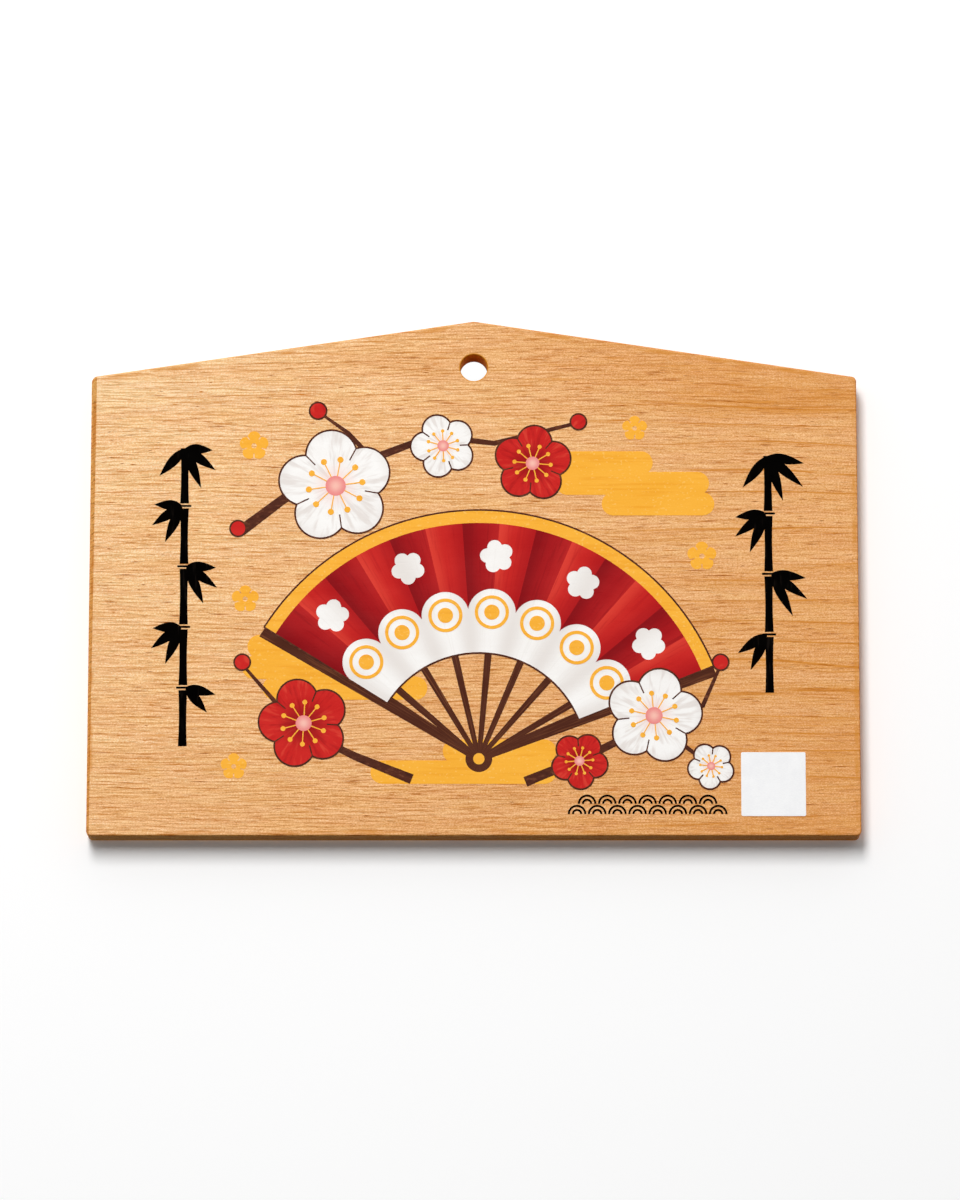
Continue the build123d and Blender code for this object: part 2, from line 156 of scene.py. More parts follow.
# %% Start a group, and place one
def make_group(name, build, more=()):
    """A shader group that takes a Position and more values. build adds its nodes and names its outputs."""
    group = bpy.data.node_groups.new(name, "ShaderNodeTree")
    group.interface.new_socket("Position", in_out="INPUT", socket_type="NodeSocketVector")
    for label in more:
        group.interface.new_socket(label, in_out="INPUT", socket_type="NodeSocketFloat")
    outputs = build(group, group.nodes.new("NodeGroupInput").outputs)
    for label in outputs:
        group.interface.new_socket(label, in_out="OUTPUT", socket_type="NodeSocketFloat")
    result = group.nodes.new("NodeGroupOutput").inputs
    for label, value in outputs.items():
        feed(group, result[label], value)
    return group


def place_group(tree, group, position, **values):
    """Puts a group into a tree at a position, with any other values, and gives its outputs."""
    made = tree.nodes.new("ShaderNodeGroup")
    made.node_tree = group
    feed(tree, made.inputs["Position"], position)
    for label, value in values.items():
        feed(tree, made.inputs[label], value)
    return made.outputs


# %% Start a finish
def new_finish(name):
    """An empty finish: the material, its tree, its shader and the place on the plaque in millimetres."""
    finish = bpy.data.materials.new(name)
    finish.use_nodes = True
    tree = finish.node_tree
    tree.nodes.clear()
    shader = tree.nodes.new("ShaderNodeBsdfPrincipled")
    output = tree.nodes.new("ShaderNodeOutputMaterial")
    tree.links.new(shader.outputs["BSDF"], output.inputs["Surface"])
    place = tree.nodes.new("ShaderNodeTexCoord").outputs["Object"]
    millimetres = vector_maths(tree, "MULTIPLY", place, (1 / MM, 1 / MM, 1 / MM))
    return finish, tree, shader, millimetres


def set_surface(tree, shader, colour, roughness, shine):
    """Feeds a shader its colour, its roughness and how strongly it mirrors."""
    feed(tree, shader.inputs["Base Color"], colour)
    feed(tree, shader.inputs["Roughness"], roughness)
    shader.inputs["Specular IOR Level"].default_value = shine


def raise_bump(tree, shader, height, distance):
    """Bumps a shader by a height pattern that stands distance metres tall."""
    bump = tree.nodes.new("ShaderNodeBump")
    bump.inputs["Distance"].default_value = distance
    feed(tree, bump.inputs["Height"], height)
    tree.links.new(bump.outputs["Normal"], shader.inputs["Normal"])


# %% [markdown]
# ## The grain of the plank
# The board is a quiet, straight-grained wood. Its fibres run from side to side, so every pattern is much
# longer along x than up or through the plank. A slow wander and a small ripple lift the pattern, which
# turns ruled lines into living ones. The pattern fills the solid and climbs a little from front to back, so
# the sawn ends show slanting layers without any extra work. Thin, broken rings show where each year's
# growth ended. One group gives all the masks. A cell is a size along, through and up the plank in
# millimetres, and levels say at which strength of the noise a mask starts and where it is full.

# %% Noise with cells of a real size
def noise(tree, position, cell, shift=0.0, detail=2.0, roughness=0.5):
    """Noise from 0 to 1 whose cells measure cell along, through and up the plank, in millimetres."""
    scale = [1.0 / length for length in cell]
    made = tree.nodes.new("ShaderNodeTexNoise")
    place = vector_maths(tree, "MULTIPLY_ADD", position, scale, (shift, shift, shift))
    feed(tree, made.inputs["Vector"], place)
    made.inputs["Scale"].default_value = 1.0
    made.inputs["Detail"].default_value = detail
    made.inputs["Roughness"].default_value = roughness
    return made.outputs[0]


def mask(tree, position, cell, levels, **kind):
    """Noise made into a mask that starts at the first level and is full at the second."""
    return ease(tree, noise(tree, position, cell, **kind), *levels)


def swing(tree, pattern, amount):
    """A 0 to 1 pattern turned into a swing of amount about zero."""
    return times(tree, minus(tree, pattern, 0.5), amount)


# %% How the grain drifts
WANDER = 3.0
WANDER_CELL = (60.0, 40.0, 26.0)
RIPPLE = 0.2
RIPPLE_CELL = (7.0, 3.0, 3.0)
LAYER_SLANT = 0.3


def lift(tree, position, rise):
    """The position moved up by rise."""
    return vector_maths(tree, "ADD", position, combine(tree, 0.0, 0.0, rise))


def grain_rise(tree, position):
    """How far the grain has drifted up at a place, in millimetres."""
    wander = noise(tree, position, WANDER_CELL, shift=3.7, detail=1.0)
    ripple = noise(tree, position, RIPPLE_CELL, shift=8.1, detail=1.0)
    return plus(tree, swing(tree, wander, WANDER), swing(tree, ripple, RIPPLE))


print(f"the grain drifts up to {(WANDER + RIPPLE) / 2} mm up or down")

# %% Evenly spaced lines
LINE_GAP = 0.385
LINE_ECHO = 0.45
LINE_LEVELS = (0.53, 0.66)
PALE_LEVELS = (0.52, 0.36)
STREAK_CELL = (9.0, 7.0, 0.17)
THREAD_CELL = (4.4, 3.0, 0.12)
THREAD_SHARE = 0.8


def combed(tree, position, cell, **kind):
    """Noise less an echo of itself from one line gap further up, which spaces its lines evenly."""
    echo = noise(tree, lift(tree, position, LINE_GAP), cell, **kind)
    return minus(tree, noise(tree, position, cell, **kind), swing(tree, echo, LINE_ECHO))


def grain_lines(tree, along):
    """The dark lines of the grain, and the pale fibres between them."""
    streaks = combed(tree, along, STREAK_CELL, shift=2.2, detail=3.0, roughness=0.68)
    threads = combed(tree, along, THREAD_CELL, shift=5.9, detail=2.0, roughness=0.65)
    fine_lines = times(tree, ease(tree, threads, *LINE_LEVELS), THREAD_SHARE)
    lines = maths(tree, "MAXIMUM", ease(tree, streaks, *LINE_LEVELS), fine_lines)
    return lines, ease(tree, streaks, *PALE_LEVELS)


# %% Rings of the years
RING_GAP = 4.3
RING_WAVER = 2.2
RING_WAVER_CELL = (90.0, 40.0, 9.0)
RING_START = (0.87, 0.93)
RING_STOP = (1.0, 0.97)
RING_HALO = 0.3
HALO_START = (0.5, 0.92)
RING_BREAK_CELL = (19.0, 6.0, 0.7)
RING_BREAK_LEVELS = (0.34, 0.56)


def ring_lines(tree, along):
    """Thin broken lines where each year's growth ended: they deepen slowly and stop short."""
    _, _, up = split(tree, along)
    waver = swing(tree, noise(tree, along, RING_WAVER_CELL, shift=4.2, detail=1.0), RING_WAVER)
    year = maths(tree, "FRACT", plus(tree, maths(tree, "DIVIDE", up, RING_GAP), waver))
    halo = times(tree, ease(tree, year, *HALO_START), RING_HALO)
    line = maths(tree, "MAXIMUM", ease(tree, year, *RING_START), halo)
    line = times(tree, line, ease(tree, year, *RING_STOP))
    return times(tree, line, mask(tree, along, RING_BREAK_CELL, RING_BREAK_LEVELS, shift=2.9))


print(f"about {(peak - bottom) / MM / RING_GAP:.0f} years from the bottom to the peak")

# %% Build the grain group
BAND_CELL = (45.0, 24.0, 3.0)
BAND_LEVELS = (0.3, 0.7)
TICK_CELL = (2.4, 0.5, 0.18)
TICK_LEVELS = (0.66, 0.78)
SPECKLE_CELL = (0.33, 0.4, 0.18)
RESIN_CELL = (12.0, 4.0, 0.36)
RESIN_LEVELS = (0.62, 0.74)


def grain_masks(group, given):
    """Every mask of the grain at a place in the plank."""
    position = given["Position"]
    _, depth, _ = split(group, position)
    rise = plus(group, grain_rise(group, position), times(group, depth, LAYER_SLANT))
    along = lift(group, position, rise)
    lines, pale = grain_lines(group, along)
    ticks = mask(group, along, TICK_CELL, TICK_LEVELS, shift=9.4, detail=0.0)
    return {
        "Rise": rise,
        "Bands": mask(group, along, BAND_CELL, BAND_LEVELS, shift=1.3),
        "Lines": lines,
        "Pale": pale,
        "Ticks": ticks,
        "Speckle": noise(group, along, SPECKLE_CELL, shift=6.6, detail=1.0),
        "Resin": mask(group, along, RESIN_CELL, RESIN_LEVELS, shift=7.4, detail=1.0),
        "Rings": ring_lines(group, along),
        "Height": minus(group, 1.0, maths(group, "MAXIMUM", lines, ticks)),
    }


plank_grain = make_group("Plank grain", grain_masks)
print("sockets of the grain group:", [socket.name for socket in plank_grain.interface.items_tree])

# %% [markdown]
# ## Bare wood for the board
# The wood is pale at the left and a warmer orange at the right. Fine dark lines draw the grain at the left,
# and towards the right they grow quiet and thin orange rings take over. One soft orange flame lies near the
# right shoulder. The sawn edges are a deeper orange than the face, partly their own colour and partly
# painted warm shade, and at the ends, where the saw tore fibres out, there are dark ticks too. The wall of
# the cord hole is matt and brown, with painted shade that darkens it towards the back. Each of these is a
# mask that mixes one more colour in, or darkens by a tint.

# %% Mix colours
def named(sockets, identifier):
    """The socket with that identifier, for nodes that use one name twice."""
    return next(socket for socket in sockets if socket.identifier == identifier)


def blend(tree, share, first, second, way="MIX"):
    """Mixes two colours or vectors: none of the second at share 0, and all of it at share 1."""
    made = tree.nodes.new("ShaderNodeMix")
    made.data_type = "RGBA"
    made.blend_type = way
    feed(tree, named(made.inputs, "Factor_Float"), share)
    feed(tree, named(made.inputs, "A_Color"), first)
    feed(tree, named(made.inputs, "B_Color"), second)
    return named(made.outputs, "Result_Color")


def paint(red, green, blue):
    """A colour as a paint chart gives it, 0 to 255, in the linear numbers that shaders use."""
    shares = [level / 255.0 for level in (red, green, blue)]
    linear = [s / 12.92 if s <= 0.04045 else ((s + 0.055) / 1.055) ** 2.4 for s in shares]
    return (*linear, 1.0)


# %% Colours of the wood
PALE_WOOD = paint(251, 203, 150)
DEEP_WOOD = paint(226, 158, 91)
LIGHT_FIBRE = paint(255, 226, 184)
ORANGE_WOOD = paint(214, 138, 50)
BORE_WOOD = paint(224, 150, 44)
# The back of the cord hole carries painted shade.
BORE_PAINTED_SHADE = paint(176, 94, 4)
LINE_TINT = (0.64, 0.41, 0.16, 1.0)
TICK_TINT = (0.56, 0.37, 0.15, 1.0)
HONEY_TINT = (1.0, 1.0, 0.95, 1.0)
ROSE_TINT = (1.0, 0.98, 0.98, 1.0)
# Edges are tinted partly for their own colour and partly as painted warm shade.
EDGE_WOOD_AND_SHADE_TINT = (1.0, 0.8, 0.44, 1.0)
END_TINT = (0.93, 0.86, 0.8, 1.0)
TORN_TINT = (0.5, 0.36, 0.16, 1.0)
print("pale wood in linear numbers:", [round(part, 3) for part in PALE_WOOD])


# %% Soft spots
def length_of(tree, vector):
    """The length of a vector."""
    made = tree.nodes.new("ShaderNodeVectorMath")
    made.operation = "LENGTH"
    feed(tree, made.inputs[0], vector)
    return made.outputs["Value"]


def spindle(tree, position, centre, reach):
    """A soft mask, 1 at the centre and 0 from reach outwards along each axis."""
    stretch = [1.0 / length for length in reach]
    centred = vector_maths(tree, "SUBTRACT", position, centre)
    return ease(tree, length_of(tree, vector_maths(tree, "MULTIPLY", centred, stretch)), 1.0, 0.1)


# %% How warm and deep the wood is
LIGHTEST_TONE = -0.5
MIDDLE_TONE = 0.19
WARMER_TO_THE_RIGHT = 0.0049
PALER_UPWARD = 0.0045
WARM_CORNER = 0.6
WARM_CORNER_CENTRE = (62.0, 0.0, 6.0)
WARM_CORNER_REACH = (125.0, 60.0, 22.0)
BAND_SWING = 0.25
SPECKLE_SWING = 2.6
FIBRE_SWING = 0.3
HONEY_CELL = (9.0, 4.0, 1.6)
HONEY_LEVELS = (0.35, 0.65)


def tone_of_plank(tree, position, grain):
    """How warm and deep the wood is: 0 for the palest part of the plank and 1 for the deepest."""
    along, _, up = split(tree, position)
    tone = plus(tree, times(tree, along, WARMER_TO_THE_RIGHT), MIDDLE_TONE)
    tone = minus(tree, tone, times(tree, up, PALER_UPWARD))
    corner = spindle(tree, position, WARM_CORNER_CENTRE, WARM_CORNER_REACH)
    tone = plus(tree, tone, times(tree, corner, WARM_CORNER))
    tone = plus(tree, tone, swing(tree, grain["Bands"], BAND_SWING))
    tone = plus(tree, tone, swing(tree, grain["Speckle"], SPECKLE_SWING))
    return minus(tree, tone, times(tree, grain["Pale"], FIBRE_SWING))


def colour_of_plank(tree, position, grain):
    """The ground colour of the wood: light fibres, pale wood, deep wood, and patches of honey and rose."""
    tone = tone_of_plank(tree, position, grain)
    colour = blend(tree, ease(tree, tone, LIGHTEST_TONE, 0.0), LIGHT_FIBRE, PALE_WOOD)
    colour = blend(tree, tone, colour, DEEP_WOOD)
    honey = mask(tree, position, HONEY_CELL, HONEY_LEVELS, shift=6.2)
    return blend(tree, 1.0, colour, blend(tree, honey, ROSE_TINT, HONEY_TINT), "MULTIPLY")


# %% Flame, rings and lines
FLAME_CENTRE = (59.0, 0.0, -8.6)
FLAME_REACH = (36.0, 40.0, 4.2)
FLAME_SHARE = 0.85
FLAME_BETWEEN_STREAKS = 0.45
FLAME_STREAK_CELL = (15.0, 6.0, 0.5)
FLAME_STREAK_LEVELS = (0.42, 0.64, FLAME_BETWEEN_STREAKS * FLAME_SHARE, FLAME_SHARE)
TURNING_WARM = (5.0, 60.0)
RING_SHARE = (0.1, 0.85)
LINE_SHARE = (0.9, 0.45)
TICK_SHARE = 0.5
RESIN_SHARE = 0.45


def draw_flame(tree, position, grain, colour):
    """A soft orange flame near the right shoulder, in streaks that follow the grain."""
    drifted = lift(tree, position, grain["Rise"])
    streaks = mask(tree, drifted, FLAME_STREAK_CELL, FLAME_STREAK_LEVELS, shift=1.7)
    flame = times(tree, spindle(tree, drifted, FLAME_CENTRE, FLAME_REACH), streaks)
    return blend(tree, flame, colour, ORANGE_WOOD)


def draw_grain(tree, position, grain, colour):
    """Rings, lines, ticks and resin. To the right, where the wood turns warm, rings replace lines."""
    along, _, _ = split(tree, position)
    rings = times(tree, grain["Rings"], ease(tree, along, *TURNING_WARM, *RING_SHARE))
    lines = times(tree, grain["Lines"], ease(tree, along, *TURNING_WARM, *LINE_SHARE))
    colour = blend(tree, rings, colour, ORANGE_WOOD)
    colour = blend(tree, lines, colour, LINE_TINT, "MULTIPLY")
    colour = blend(tree, times(tree, grain["Ticks"], TICK_SHARE), colour, TICK_TINT, "MULTIPLY")
    return blend(tree, times(tree, grain["Resin"], RESIN_SHARE), colour, ORANGE_WOOD)


# %% A line along the edges
ARRIS_START = (0.2, 0.5)
ARRIS_STOP = (1.3, 0.8)
ARRIS_CELL = (7.0, 7.0, 7.0)
ARRIS_LEVELS = (0.45, 0.65)
ARRIS_SHARE = 0.6


def edge_distance(tree, position):
    """Distance in from the nearest edge of the board's outline, in millimetres."""
    across, _, up = split(tree, position)
    sideways = maths(tree, "ABSOLUTE", across)
    slope = ROOF_RISE / half_width
    side_gap = minus(tree, half_width / MM, sideways)
    roof_drop = plus(tree, times(tree, sideways, slope), up)
    roof_gap = minus(tree, peak / MM, roof_drop)
    base_gap = minus(tree, up, bottom / MM)
    return maths(tree, "MINIMUM", maths(tree, "MINIMUM", side_gap, base_gap), roof_gap)


def draw_arris_line(tree, position, colour):
    """A broken orange line just inside the arris."""
    inside = edge_distance(tree, position)
    line = times(tree, ease(tree, inside, *ARRIS_STOP), ease(tree, inside, *ARRIS_START))
    broken = mask(tree, position, ARRIS_CELL, ARRIS_LEVELS, shift=3.1)
    share = times(tree, line, times(tree, broken, ARRIS_SHARE))
    return blend(tree, share, colour, ORANGE_WOOD)


# %% Sawn edges
EDGE_TURN = (0.98, 0.75)
END_TURN = (0.3, 0.8)
TORN_SHARE = 0.7
TORN_CELL = (2.4, 1.3, 0.42)
TORN_LEVELS = (0.52, 0.7, 0.0, TORN_SHARE)


def face_turn(tree):
    """How squarely a surface faces front or back, and how squarely it faces a side, both 0 to 1."""
    normal = tree.nodes.new("ShaderNodeNewGeometry").outputs["True Normal"]
    across, through, _ = split(tree, normal)
    return maths(tree, "ABSOLUTE", through), maths(tree, "ABSOLUTE", across)


def shade_and_stain_sawn_edges(tree, position, colour):
    """Deeper orange on every edge, partly the wood's own colour and partly painted warm shade; dark torn
    fibres on the ends.
    """
    facing, sideways = face_turn(tree)
    # Painted warm shade, partly: every face that doesn't face front or back is darkened and made more
    # orange.
    colour = blend(tree, ease(tree, facing, *EDGE_TURN), colour, EDGE_WOOD_AND_SHADE_TINT, "MULTIPLY")
    ends = ease(tree, sideways, *END_TURN)
    colour = blend(tree, ends, colour, END_TINT, "MULTIPLY")
    torn = mask(tree, position, TORN_CELL, TORN_LEVELS, shift=4.9)
    return blend(tree, times(tree, torn, ends), colour, TORN_TINT, "MULTIPLY")


# %% The wall of the cord hole
BORE_RIM = (0.3, 0.05)


def flat_length(tree, vector):
    """The length of a vector as seen from the front."""
    return length_of(tree, vector_maths(tree, "MULTIPLY", vector, (1.0, 0.0, 1.0)))


def bore_mask(tree, position):
    """1 on the wall of the cord hole, and 0 on the faces."""
    outer, inner = [hole_radius / MM + reach for reach in BORE_RIM]
    return ease(tree, flat_length(tree, position), outer, inner)


def colour_bore_with_painted_shade(tree, position, colour, bore):
    """The wall of the cord hole in deep wood colour, with painted shade that darkens it towards the back.
    """
    _, depth, _ = split(tree, position)
    # Painted shade: the wall darkens from the front of the hole to its back.
    wall = blend(tree, ease(tree, depth, front / MM, back / MM), BORE_WOOD, BORE_PAINTED_SHADE)
    return blend(tree, bore, colour, wall)


# %% Build the wood
WOOD_ROUGHNESS = (0.52, 0.72)
SPECKLE_LEVELS = (0.3, 0.7)
WOOD_SHINE = 0.04
WOOD_RELIEF = 0.014 * MM


def make_bare_wood():
    finish, tree, shader, position = new_finish("bare wood")
    grain = place_group(tree, plank_grain, position)
    colour = colour_of_plank(tree, position, grain)
    colour = draw_flame(tree, position, grain, colour)
    colour = draw_grain(tree, position, grain, colour)
    colour = draw_arris_line(tree, position, colour)
    colour = shade_and_stain_sawn_edges(tree, position, colour)
    bore = bore_mask(tree, position)
    colour = colour_bore_with_painted_shade(tree, position, colour, bore)
    roughness = ease(tree, grain["Speckle"], *SPECKLE_LEVELS, *WOOD_ROUGHNESS)
    set_surface(tree, shader, colour, maths(tree, "MAXIMUM", roughness, bore), WOOD_SHINE)
    raise_bump(tree, shader, grain["Height"], WOOD_RELIEF)
    return finish


bare_wood = make_bare_wood()
print("made", bare_wood.name, "with", len(bare_wood.node_tree.nodes), "nodes")

# %% [markdown]
# ## Open pores
# Up close the wood shows short orange-brown dashes where vessels were cut open. There are many and each
# lies along the grain, so Geometry Nodes scatter thin slivers over the front and the back. A sliver is let
# into the face and stands only a hundredth of a millimetre proud, so printed ink covers it. Its turn is
# read from the slope of the same drift that bends the grain in the colour.

# %% The two faces that carry pores
PORE_INSET = 3.6 * MM


def make_sheet(name, corners, faces):
    """A flat mesh from its corners and the faces between them."""
    mesh = bpy.data.meshes.new(name)
    mesh.from_pydata(corners, [], faces)
    return mesh


def face_outline(y):
    """The board's outline at depth y, drawn in from its edges: five corners."""
    side = half_width - PORE_INSET
    low = bottom + PORE_INSET
    eaves = shoulder - PORE_INSET
    top = peak - PORE_INSET
    return [(-side, y, low), (side, y, low), (side, y, eaves), (0.0, y, top), (-side, y, eaves)]


face_sheets = make_sheet("face_sheets", face_outline(front) + face_outline(back), [range(5), range(5, 10)])
print(f"pores lie on {sum(face.area for face in face_sheets.polygons):.4f} square metres")

# %% Turn a pore along the grain, clear of the hole
SLOPE_STEP = 1.0
PORES_CLEAR_OF_HOLE = 2.2


def grain_turn(tree):
    """The angle of the grain at a point, from how much its drift changes over a short step along x."""
    place = tree.nodes.new("GeometryNodeInputPosition").outputs["Position"]
    position = vector_maths(tree, "MULTIPLY", place, (1 / MM, 1 / MM, 1 / MM))
    ahead = grain_rise(tree, vector_maths(tree, "ADD", position, (SLOPE_STEP, 0.0, 0.0)))
    behind = grain_rise(tree, vector_maths(tree, "ADD", position, (-SLOPE_STEP, 0.0, 0.0)))
    change = minus(tree, ahead, behind)
    return maths(tree, "ARCTANGENT", maths(tree, "DIVIDE", change, 2 * SLOPE_STEP))


def clear_of_hole(tree):
    """True where a sliver can't reach the cord hole."""
    place = tree.nodes.new("GeometryNodeInputPosition").outputs["Position"]
    return maths(tree, "GREATER_THAN", flat_length(tree, place), PORES_CLEAR_OF_HOLE * hole_radius)


# %% Shape a pore
PORE_SIZES = {
    "Pores per square metre": 60000.0,
    "Shortest": 0.9 * MM,
    "Longest": 7.0 * MM,
    "Narrowest": 0.1 * MM,
    "Widest": 0.2 * MM,
    "Depth": 0.02 * MM,
}
PORE_SEED = 11
SLIVER_SIDES = 4


def random_between(tree, low, high, seed):
    """A random value for each point."""
    made = tree.nodes.new("FunctionNodeRandomValue")
    made.data_type = "FLOAT"
    feed(tree, named(made.inputs, "Min_001"), low)
    feed(tree, named(made.inputs, "Max_001"), high)
    made.inputs["Seed"].default_value = seed
    return named(made.outputs, "Value_001")


def unit_sliver(tree):
    """A sliver one across and one deep, which each pore stretches to its own size."""
    made = tree.nodes.new("GeometryNodeMeshCylinder")
    made.inputs["Vertices"].default_value = SLIVER_SIDES
    made.inputs["Radius"].default_value = 0.5
    made.inputs["Depth"].default_value = 1.0
    return made.outputs["Mesh"]


def pore_stretch(tree, given):
    """The length, width and depth of each pore: most are short and a few are long."""
    share = maths(tree, "POWER", random_between(tree, 0.0, 1.0, PORE_SEED + 1), 2.0)
    spread = minus(tree, given["Longest"], given["Shortest"])
    length = plus(tree, given["Shortest"], times(tree, share, spread))
    width = random_between(tree, given["Narrowest"], given["Widest"], PORE_SEED + 2)
    return combine(tree, length, width, given["Depth"])


# %% Colour the pores
DARK_PORE = paint(160, 84, 16)
LIGHT_PORE = paint(206, 126, 46)
PORE_PATCH_CELL = (4.0, 4.0, 1.5)
PORE_PATCH_LEVELS = (0.3, 0.7)
PORE_ROUGHNESS = (0.7, 0.85)
PORE_SHINE = 0.1


def make_pore_wood():
    finish, tree, shader, position = new_finish("pore wood")
    patches = noise(tree, position, PORE_PATCH_CELL, shift=4.4, detail=1.0)
    colour = blend(tree, ease(tree, patches, *PORE_PATCH_LEVELS), DARK_PORE, LIGHT_PORE)
    set_surface(tree, shader, colour, ease(tree, patches, *PORE_PATCH_LEVELS, *PORE_ROUGHNESS), PORE_SHINE)
    return finish


pore_wood = make_pore_wood()
print("made", pore_wood.name)


# %% Build the tree that scatters them
def start_pore_tree():
    """A tree that takes faces and the sizes of pores, with the sockets it is given."""
    tree = bpy.data.node_groups.new("Open pores", "GeometryNodeTree")
    tree.interface.new_socket("Faces", in_out="INPUT", socket_type="NodeSocketGeometry")
    for label in PORE_SIZES:
        tree.interface.new_socket(label, in_out="INPUT", socket_type="NodeSocketFloat")
    tree.interface.new_socket("Pores", in_out="OUTPUT", socket_type="NodeSocketGeometry")
    return tree, tree.nodes.new("NodeGroupInput").outputs


def make_pore_tree(finish):
    tree, given = start_pore_tree()
    points = tree.nodes.new("GeometryNodeDistributePointsOnFaces")
    feed(tree, points.inputs["Mesh"], given["Faces"])
    feed(tree, points.inputs["Density"], given["Pores per square metre"])
    points.inputs["Seed"].default_value = PORE_SEED
    scatter = tree.nodes.new("GeometryNodeInstanceOnPoints")
    feed(tree, scatter.inputs["Points"], points.outputs["Points"])
    feed(tree, scatter.inputs["Instance"], unit_sliver(tree))
    feed(tree, scatter.inputs["Selection"], clear_of_hole(tree))
    feed(tree, scatter.inputs["Rotation"], combine(tree, math.pi / 2, grain_turn(tree), 0.0))
    feed(tree, scatter.inputs["Scale"], pore_stretch(tree, given))
    real = tree.nodes.new("GeometryNodeRealizeInstances")
    feed(tree, real.inputs["Geometry"], scatter.outputs["Instances"])
    coloured = tree.nodes.new("GeometryNodeSetMaterial")
    feed(tree, coloured.inputs["Geometry"], real.outputs["Geometry"])
    coloured.inputs["Material"].default_value = finish
    output = tree.nodes.new("NodeGroupOutput")
    feed(tree, output.inputs["Pores"], coloured.outputs["Geometry"])
    return tree


# %% Scatter the pores
def grow(name, mesh, tree, sizes):
    """Runs a Geometry Nodes tree over a mesh with those sizes, and gives the result as a plain piece."""
    source = bpy.data.objects.new(name + "_source", mesh)
    bpy.context.scene.collection.objects.link(source)
    modifier = source.modifiers.new(name, "NODES")
    modifier.node_group = tree
    for socket in tree.interface.items_tree:
        if socket.in_out == "INPUT" and socket.name in sizes:
            modifier[socket.identifier] = sizes[socket.name]
    ready = source.evaluated_get(bpy.context.evaluated_depsgraph_get())
    plain = bpy.data.meshes.new_from_object(ready)
    bpy.data.objects.remove(source)
    piece = bpy.data.objects.new(name, plain)
    bpy.context.scene.collection.objects.link(piece)
    return piece


wood_pores = grow("wood_pores", face_sheets, make_pore_tree(pore_wood), PORE_SIZES)
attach(wood_pores, "root")
print("pores:", len(wood_pores.data.polygons) // (SLIVER_SIDES + 2), "slivers")

# %% [markdown]
# ## Where the brush went
# The picture was painted by hand before it was printed, so its shading follows its shapes: strokes run out
# from the heart of each plum blossom, and each pleat of the fan is lighter along its ridge. A material
# can't see such shapes by itself. Two groups work them out from the place on the board. The hearts are
# measured on the loaded pink discs, and the fan on its gold rivet and rim, so the shading stays with the
# shapes.

# %% Measure the hearts of the blossoms
SAME_POINT = 0.001 * MM


def measure_discs(piece):
    """The place and the radius of each separate disc of a piece, in millimetres."""
    built = bmesh.new()
    built.from_mesh(piece.data)
    bmesh.ops.remove_doubles(built, verts=built.verts, dist=SAME_POINT)
    waiting = set(built.verts)
    discs = []
    while waiting:
        island = [waiting.pop()]
        for corner in island:
            near = {edge.other_vert(corner) for edge in corner.link_edges} & waiting
            waiting -= near
            island.extend(near)
        across = [corner.co.x / MM for corner in island]
        upward = [corner.co.z / MM for corner in island]
        radius = (max(across) - min(across)) / 2
        discs.append((min(across) + radius, min(upward) + radius, radius))
    built.free()
    return sorted(discs)


hearts = measure_discs(frame["nodes"]["pink_hearts"])
print("blossom hearts:", [tuple(round(part, 1) for part in heart) for heart in hearts])

# %% Build the blossom group
HEART_SHARE = 0.18
STROKES_ROUND = 6.0
STROKE_BEND = 1.6
STROKE_CELL = (1.0, 1.0, 1.0)
STROKE_ROUGHNESS = 0.6
BLOSSOM_SHIFT = 5.3


def nearest_blossom(tree, position):
    """The offset from the heart of the nearest blossom in shares of its size, and the length of it."""
    nearest = None
    for index, (across, upward, radius) in enumerate(hearts):
        share = HEART_SHARE / radius
        shift = (-across * share, index * BLOSSOM_SHIFT, -upward * share)
        offset = vector_maths(tree, "MULTIPLY_ADD", position, (share, 0.0, share), shift)
        distance = flat_length(tree, offset)
        if nearest is None:
            nearest, reach = offset, distance
        else:
            nearest = blend(tree, maths(tree, "LESS_THAN", distance, reach), nearest, offset)
            reach = maths(tree, "MINIMUM", reach, distance)
    return nearest, reach


def blossom_parts(group, given):
    """Reach is 0 at the heart of the nearest blossom and 1 at its rim. Strokes run out from the heart."""
    nearest, reach = nearest_blossom(group, given["Position"])
    x, own_shift, z = split(group, nearest)
    ray = vector_maths(group, "NORMALIZE", combine(group, x, 0.0, z))
    bend = plus(group, own_shift, times(group, reach, STROKE_BEND))
    brush = vector_maths(group, "MULTIPLY_ADD", ray, [STROKES_ROUND] * 3, combine(group, 0.0, bend, 0.0))
    return {"Reach": reach, "Strokes": noise(group, brush, STROKE_CELL, roughness=STROKE_ROUGHNESS)}


blossom_place = make_group("Blossom place", blossom_parts)
print("made", blossom_place.name, "for", len(hearts), "blossoms")

# %% Measure the fan
FAN_START = math.radians(22.0)
FAN_PLEAT = math.radians(9.0)

rivet_across, rivet_up, _ = min(measure_discs(frame["nodes"]["fan_gold_trim"]), key=lambda disc: disc[1])
fan_pivot = (rivet_across, 0.0, rivet_up)
fan_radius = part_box("fan_gold_trim")[1].z / MM - rivet_up
print(f"fan turns about {rivet_across:.2f}, {rivet_up:.2f} and reaches {fan_radius:.2f} mm")

# %% Build the fan group
STROKES_PER_RADIAN = 70.0
STROKES_OUTWARD = 5.0


